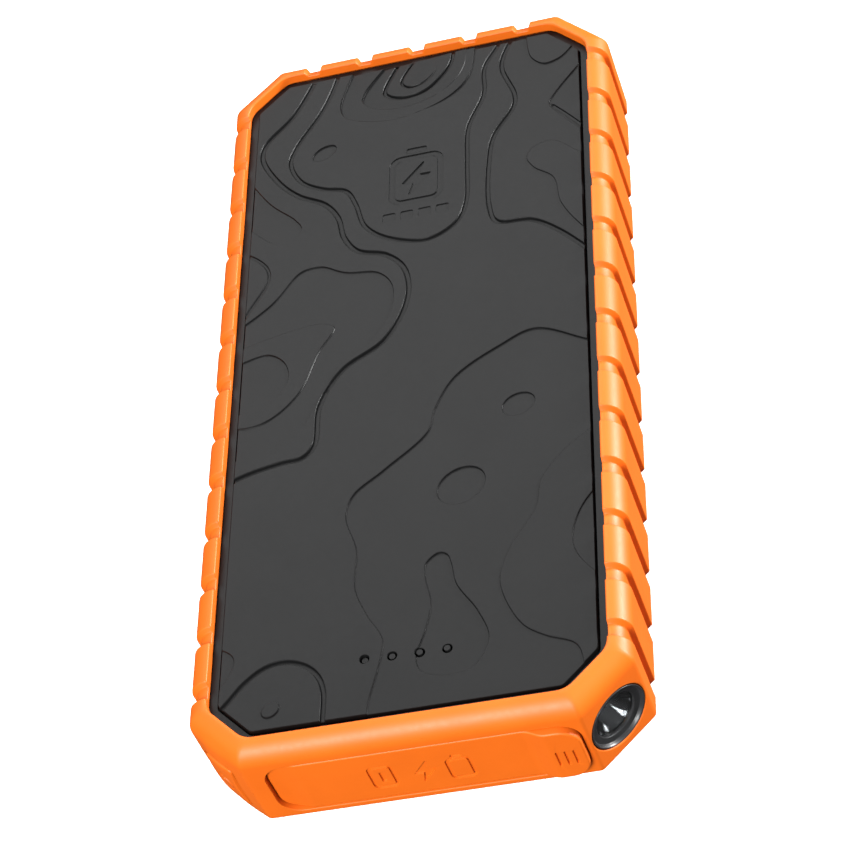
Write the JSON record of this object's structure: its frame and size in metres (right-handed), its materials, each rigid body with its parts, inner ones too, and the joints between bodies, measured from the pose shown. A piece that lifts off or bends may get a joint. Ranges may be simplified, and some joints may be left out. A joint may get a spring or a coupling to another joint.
{
  "type": "power bank",
  "caption": "Rugged flat power bank in a ribbed rubber jacket, with a hinged port flap, a corner torch and a corner power button",
  "frame": {"origin": "centre of the jacket's footprint, on the surface that the bank lies on", "axes": "+Z out of the front panel, +Y along the length away from the ports, +X to the right when looking from the ports along +Y"},
  "size_m": [0.083, 0.1798, 0.025],
  "materials": {
    "orange_rubber": "soft-touch matt",
    "case_plastic": "fine matt texture",
    "port_plastic": "satin",
    "clear_plastic": "clear moulding",
    "chrome": "polished",
    "steel": "plated",
    "board_laminate": "solder mask",
    "pouch_foil": "laminated foil",
    "white_plastic": "moulded",
    "phosphor": "cured resin",
    "grey_silicone": "moulded",
    "red_insulation": "extruded",
    "black_insulation": "extruded",
    "ferrite": "sintered"
  },
  "bodies": {
    "body": {"rubber_jacket": "orange_rubber", "flap_anchor": "orange_rubber", "front_shell": "case_plastic", "rear_shell": "case_plastic", "front_panel": "case_plastic", "rear_panel": "case_plastic", "torch_bezel": "case_plastic", "shell_gasket": "grey_silicone", "cell_pad": "grey_silicone", "port_frame": "port_plastic", "usb_a_shell_left": "steel", "usb_a_shell_right": "steel", "usb_c_shell": "steel", "usb_a_core_left": "white_plastic", "usb_a_core_right": "white_plastic", "usb_c_core": "port_plastic", "main_board": "board_laminate", "protection_board": "board_laminate", "inductor_1": "ferrite", "inductor_2": "ferrite", "charge_controller": "port_plastic", "output_controller": "port_plastic", "cell_switch": "port_plastic", "capacitor_1": "pouch_foil", "capacitor_2": "pouch_foil", "light_pipe": "clear_plastic", "torch_lens": "clear_plastic", "torch_reflector": "chrome", "torch_led": "phosphor", "torch_board": "pouch_foil", "switch_body": "port_plastic", "cell_lower": "pouch_foil", "cell_upper": "pouch_foil", "cell_lead_red": "red_insulation", "cell_lead_black": "black_insulation", "torch_lead_red": "red_insulation", "torch_lead_black": "black_insulation", "indicator_led_1": "phosphor", "shell_screw_1": "steel", "indicator_led_2": "phosphor", "shell_screw_2": "steel", "indicator_led_3": "phosphor", "shell_screw_3": "steel", "indicator_led_4": "phosphor", "shell_screw_4": "steel", "board_screw_1": "steel", "board_screw_2": "steel"},
    "flap": {"usb_flap": "orange_rubber"},
    "button": {"power_button": "orange_rubber"},
    "plunger": {"switch_plunger": "white_plastic"}
  },
  "joints": [
    {"name": "flap_hinge", "type": "hinge", "parent": "body", "child": "flap", "pos_m": [-0.0253, -0.08795, 0.0125], "axis": [0, 0, -1], "range_deg": [0, 100]},
    {"name": "button_slide", "type": "slide", "parent": "body", "child": "button", "axis": [0.7071, 0.7071, 0], "range_m": [0, 0.0006], "stiffness_N_per_m": 1500},
    {"name": "plunger_slide", "type": "slide", "parent": "body", "child": "plunger", "axis": [0.7071, 0.7071, 0], "range_m": [0, 0.0003]}
  ],
  "couplings": [
    {"joint": "plunger_slide", "follows": "button_slide", "ratio": 0.45}
  ]
}
